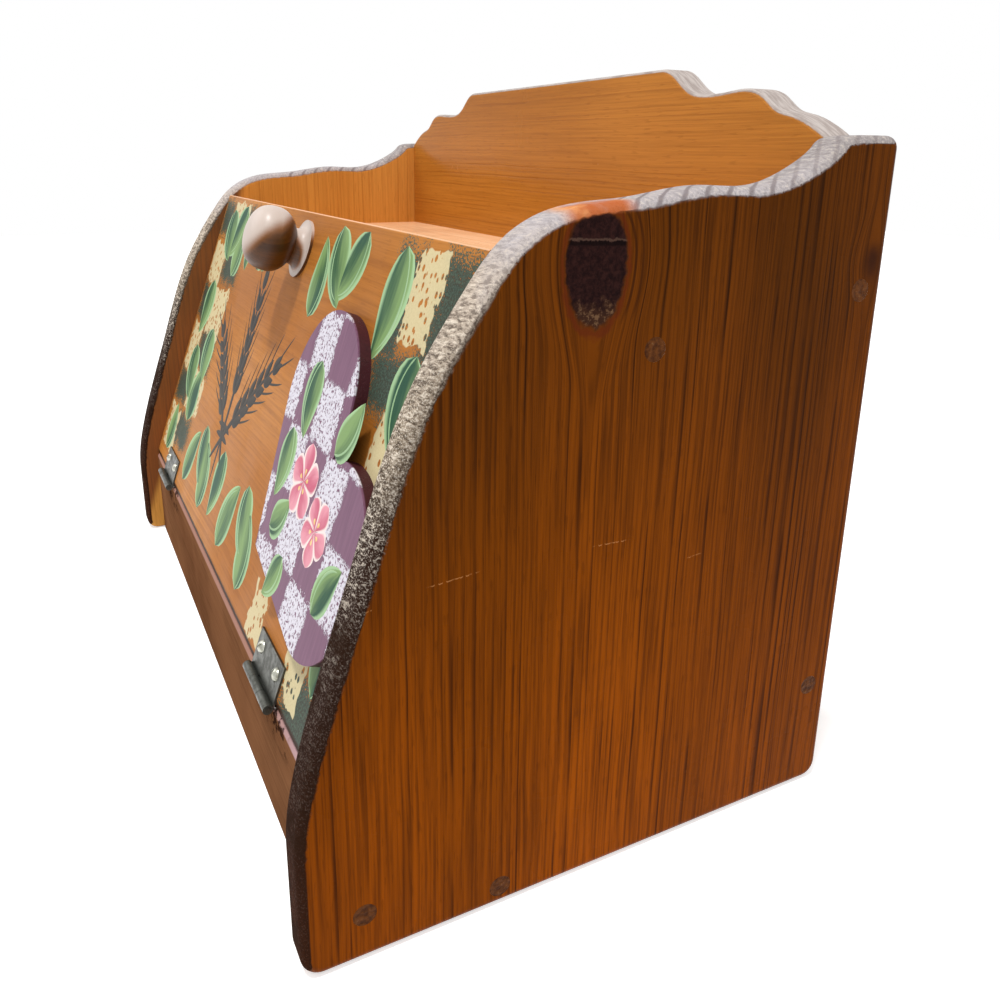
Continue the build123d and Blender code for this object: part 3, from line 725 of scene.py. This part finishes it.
back_tones = srgb(198, 132, 54), srgb(178, 114, 40), srgb(136, 80, 28)
# The shelf is paler than the other boards, partly painted light from above
lit_shelf_tones = srgb(246, 204, 164), srgb(238, 190, 146), srgb(206, 146, 98)
shelf_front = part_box("top_board")[0].y
materials = {
    "side_wood": make_side_wood(),
    "back_wood": make_board_wood("back_wood", "XZY", back_tones, 3.0 * MM, worn_crest=True),
    "shelf_wood": make_board_wood("shelf_wood", "XYZ", lit_shelf_tones, 4.5 * MM, lit_front_edge=shelf_front),
    "rail_wood": make_rail_wood(),
    "painted_door": make_painted_door(),
    "painted_heart": make_painted_heart(),
    "knob_wood": make_knob_wood(),
    "hinge_steel": make_metal("hinge_steel", srgb(94, 95, 90), srgb(68, 68, 62), 0.3),
    "pin_steel": make_metal("pin_steel", srgb(84, 80, 72), srgb(48, 44, 40), 0.4),
    "screw_steel": make_metal("screw_steel", srgb(188, 188, 176), srgb(128, 126, 112), 0.2),
    "nail_steel": make_metal("nail_steel", srgb(150, 148, 144), srgb(100, 96, 90), 0.3),
    "wood_filler": make_filler(),
}
slot_of = {part["node"]: part["material_slot"] for part in frame["record"]["subparts"]}
for name, node in nodes.items():
    node.data.materials.clear()
    node.data.materials.append(materials[slot_of[name]])


def select_only(*pieces):
    """Select these objects alone, the first of them active."""
    bpy.ops.object.select_all(action="DESELECT")
    for piece in pieces:
        piece.select_set(True)
    bpy.context.view_layer.objects.active = pieces[0]


def paint_stroke(length, width, outline, turn=0.001, steps=12, lanes=6):
    """One domed stroke of paint from the origin, sunk a little and closed underneath.

    It sets off along +X and turns by an angle in radians on its way, which may be small but not zero. The
    outline gives the share of the half width at a share of the length.
    """
    bpy.ops.object.select_all(action="DESELECT")
    bpy.ops.mesh.primitive_grid_add(x_subdivisions=steps, y_subdivisions=lanes, size=1, calc_uvs=True)
    piece = bpy.context.object
    for vertex in piece.data.vertices:
        share = vertex.co.x + 0.5
        lane = vertex.co.y * 2
        reach = lane * width / 2 * outline(share)
        bent = turn * share
        vertex.co.x = length * sin(bent) / turn - reach * sin(bent)
        vertex.co.y = length * (1 - cos(bent)) / turn + reach * cos(bent)
        vertex.co.z = paint_rise * (1 - lane**2) * min(1.0, 5 * share, 5 * (1 - share))
    bpy.ops.object.mode_set(mode="EDIT")
    bpy.ops.mesh.select_all(action="SELECT")
    bpy.ops.mesh.extrude_region_move(TRANSFORM_OT_translate={"value": (0, 0, -paint_sink)})
    bpy.ops.object.mode_set(mode="OBJECT")
    for vertex in piece.data.vertices:
        if vertex.select:
            vertex.co.z = -paint_sink
    bpy.ops.object.mode_set(mode="EDIT")
    bpy.ops.mesh.select_all(action="SELECT")
    bpy.ops.mesh.remove_doubles(threshold=0.02 * MM)
    bpy.ops.mesh.normals_make_consistent(inside=False)
    bpy.ops.object.mode_set(mode="OBJECT")
    bpy.ops.object.shade_smooth_by_angle(angle=radians(40))
    return piece


def put_on_door(piece, x, v, angle, out=0.0):
    """Lay a stroke on the door's face at x and v in millimetres, turned by an angle in degrees."""
    spot = door_origin + door_turn @ Vector((x * MM, v * MM, out))
    turn = Matrix.Rotation(radians(angle), 4, "Z")
    piece.matrix_world = Matrix.Translation(spot) @ door_turn.to_4x4() @ turn
    select_only(piece)
    bpy.ops.object.transform_apply(location=True, rotation=True, scale=True)
    return piece


def finish_paint(pieces, name, material):
    """Join strokes to one piece that moves with the door."""
    select_only(*pieces)
    bpy.ops.object.join()
    joined = bpy.context.object
    joined.name = name
    joined.data.name = name
    joined.data.materials.clear()
    joined.data.materials.append(material)
    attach(joined, "door")


def leaf_outline(share):
    """A leaf: full near its start, drawn out to a point."""
    return sin(pi * share**0.72) ** 0.8 if 0 < share < 1 else 0.0


def petal_outline(share):
    """A petal: narrow at its start and full near its end."""
    return sin(pi * share**1.7) ** 0.7 if 0 < share < 1 else 0.0


def hair_outline(share):
    """A thin line that swells a little in its middle."""
    return 0.35 + 0.65 * sin(pi * share) if 0 < share < 1 else 0.0


def leaf_with_curl(x, v, angle, length, width, side, out=0.0):
    """A leaf that bends to one side, and the pale line that curls round its other side."""
    leaf = paint_stroke(length * MM, width * MM, leaf_outline, side * 0.55)
    put_on_door(leaf, x, v, angle, out)
    curl = paint_stroke(length * 1.06 * MM, 1.9 * MM, hair_outline, side * 1.9, steps=16, lanes=2)
    put_on_door(curl, x, v, angle - side * 40, out + 0.05 * MM)
    return leaf, curl


# Leaves on the door as x and v of the foot, angle, length, width, and the side to which each bends
door_leaves = [
    (-176, 192, -80, 40, 30, 1), (-140, 196, -104, 42, 30, -1), (-138, 148, 72, 38, 28, 1),
    (-104, 197, -108, 42, 28, 1), (-78, 160, 66, 36, 24, -1), (-48, 198, -98, 42, 26, -1),
    (46, 150, 80, 42, 24, 1), (62, 198, -76, 44, 26, 1), (98, 198, -108, 42, 25, -1),
    (144, 196, -80, 50, 27, -1), (182, 158, -98, 42, 28, 1), (-180, 140, -84, 42, 31, -1),
    (-142, 110, -96, 40, 31, 1), (-178, 92, -80, 42, 31, 1), (-146, 42, 98, 40, 31, -1),
    (-188, 10, 70, 36, 24, 1), (-112, 10, 82, 42, 25, -1), (-84, 56, -76, 42, 25, 1),
    (-56, 10, 98, 44, 26, 1), (-28, 56, -78, 42, 25, -1), (4, 10, 84, 44, 26, -1),
    (34, 56, -74, 42, 25, 1), (58, 8, 92, 42, 25, 1), (200, 80, -96, 40, 22, -1), (182, 20, 80, 36, 22, 1)]
# Leaves on the heart, in the same way
heart_leaves = [(104, 138, -100, 36, 22, 1), (92, 104, -74, 34, 21, -1), (98, 58, 30, 26, 18, 1),
                (126, 54, -104, 26, 17, -1), (148, 108, 44, 30, 19, 1), (172, 50, 72, 30, 18, -1)]
leaf_paint = make_leaf_paint("leaf_paint", srgb(36, 76, 56), srgb(126, 156, 98), srgb(164, 198, 150))
curl_paint = make_leaf_paint("curl_paint", srgb(138, 172, 128), srgb(160, 190, 146), srgb(190, 212, 172))
petal_paint = make_leaf_paint("petal_paint", srgb(196, 92, 118), srgb(224, 150, 164), srgb(244, 230, 224),
                              streak_size=4.0)
ear_paint = make_leaf_paint("ear_paint", srgb(42, 40, 38), srgb(60, 56, 50), srgb(84, 78, 68), rim_share=0.15)
dot_paint = make_leaf_paint("dot_paint", srgb(222, 190, 110), srgb(236, 212, 150), srgb(244, 230, 190))

leaves = []
curls = []
for specs, out in ((door_leaves, 0.0), (heart_leaves, heart_thickness)):
    for spec in specs:
        leaf, curl = leaf_with_curl(*spec, out)
        leaves.append(leaf)
        curls.append(curl)
finish_paint(leaves, "painted_leaves", leaf_paint)
finish_paint(curls, "painted_leaf_curls", curl_paint)

# Two blossoms of five petals on the heart, as x, v, petal length and first angle
blossoms = [(124, 88, 17, 20), (152, 76, 15, 56)]
petal_count = 5
dot_ring_radius = 2.6
petals = []
dots = []
for blossom_x, blossom_v, petal_length, first_angle in blossoms:
    for number in range(petal_count):
        angle = first_angle + 360 / petal_count * number
        petal = paint_stroke(petal_length * MM, petal_length * 0.86 * MM, petal_outline, 0.15)
        petals.append(put_on_door(petal, blossom_x, blossom_v, angle, heart_thickness + 0.02 * MM))
        dot_x = blossom_x + dot_ring_radius * cos(radians(angle))
        dot_v = blossom_v + dot_ring_radius * sin(radians(angle))
        dot = paint_stroke(3.4 * MM, 2.6 * MM, petal_outline, steps=6, lanes=4)
        dots.append(put_on_door(dot, dot_x, dot_v, angle, heart_thickness + 0.1 * MM))
finish_paint(petals, "painted_blossoms", petal_paint)
finish_paint(dots, "painted_blossom_hearts", dot_paint)

# A sheaf of three bearded wheat ears in charcoal, tied above its foot, with lengths in millimetres
sheaf_x = -46
sheaf_v = 28
tie_height = 34
stem_length = 128
ear_rows = 6
ear_start = 0.46
row_spacing = 0.10


def wheat_ear(lean_angle):
    """One ear on its stem, which leans by an angle from upright and bends further as it rises."""
    foot_x = sheaf_x + tie_height * tan(radians(lean_angle))
    foot_angle = 90 + lean_angle
    stem_turn = 0.009 * lean_angle
    stem = paint_stroke(stem_length * MM, 4.4 * MM, hair_outline, stem_turn, steps=20, lanes=2)
    strokes = [put_on_door(stem, foot_x, sheaf_v, foot_angle)]
    for row in range(ear_rows):
        bent = stem_turn * (ear_start + row_spacing * row)
        rise = Vector((sin(bent), 1 - cos(bent))) * stem_length / stem_turn
        turned = rise @ Matrix.Rotation(radians(-foot_angle), 2)
        grain_length = 18 - 0.6 * row
        for spread in ((-36, 36) if row < ear_rows - 1 else (-14, 14)):
            place = (foot_x + turned.x, sheaf_v + turned.y, foot_angle + degrees(bent) + spread)
            grain = paint_stroke(grain_length * MM, 0.44 * grain_length * MM, leaf_outline, spread * -0.012)
            strokes.append(put_on_door(grain, *place))
            beard_length = (grain_length + 18) * MM
            beard = paint_stroke(beard_length, 1.4 * MM, hair_outline, spread * -0.008, steps=8, lanes=2)
            strokes.append(put_on_door(beard, *place))
    return strokes


sheaf = wheat_ear(38) + wheat_ear(1) + wheat_ear(-36)
for band_height in (-3, 3):
    band = paint_stroke(30 * MM, 4.2 * MM, hair_outline, -0.3, steps=8, lanes=2)
    sheaf.append(put_on_door(band, sheaf_x - 15, sheaf_v + tie_height + band_height, 8))
finish_paint(sheaf, "painted_wheat", ear_paint)


def seen_plainly(w):
    """1 where a ray is seen by the camera or in a reflection, 0 where it only brings light."""
    rays = w.add("ShaderNodeLightPath").outputs
    return w.most(rays["Is Camera Ray"], rays["Is Glossy Ray"], rays["Is Transmission Ray"])


def add_floor():
    """A pale cloth that fades into the surround and takes the shadow."""
    bpy.ops.object.select_all(action="DESELECT")
    bpy.ops.mesh.primitive_plane_add(size=6)
    floor = bpy.context.object
    floor.name = "floor"
    material, w = new_material("pale_floor")
    cloth = w.add("ShaderNodeBsdfDiffuse", {"Color": (0.8, 0.8, 0.8, 1)})
    glow_strength = w.times(seen_plainly(w), 0.5)
    glow = w.add("ShaderNodeEmission", {"Color": (1, 1, 1, 1), "Strength": glow_strength})
    both = w.add("ShaderNodeAddShader", {0: cloth.outputs[0], 1: glow.outputs[0]})
    w.add("ShaderNodeOutputMaterial", {"Surface": both.outputs[0]})
    floor.data.materials.append(material)


def add_surround(ambient):
    """A white surround that gives only a share of its brightness as light."""
    world = bpy.data.worlds.new("surround")
    world.use_nodes = True
    world.node_tree.nodes.clear()
    w = Wiring(world.node_tree)
    strength = w.plus(ambient, w.times(seen_plainly(w), 1.0 - ambient))
    background = w.add("ShaderNodeBackground", {"Color": (1, 1, 1, 1), "Strength": strength})
    w.add("ShaderNodeOutputWorld", {"Surface": background.outputs[0]})
    bpy.context.scene.world = world


def add_lamp(name, kind, place, aim, energy, size):
    """A lamp at a place that shines at a point."""
    data = bpy.data.lights.new(name, kind)
    data.energy = energy
    if kind == "SUN":
        data.angle = size
    else:
        data.shape = "DISK"
        data.size = size
    lamp = bpy.data.objects.new(name, data)
    lamp.location = place
    lamp.rotation_euler = (Vector(aim) - Vector(place)).to_track_quat("-Z", "Y").to_euler()
    bpy.context.scene.collection.objects.link(lamp)


# Soft studio light: a pale surround, a high key lamp and two fills
add_floor()
add_surround(0.45)
add_lamp("high_key", "SUN", (0.12, -0.30, 1.6), (0, 0, 0.1), 2.2, radians(7))
add_lamp("front_fill", "AREA", (-1.3, -1.15, 1.45), (0, 0, 0.2), 9, 1.5)
add_lamp("right_fill", "AREA", (1.3, -0.2, 1.4), (0, 0, 0.2), 8, 1.2)
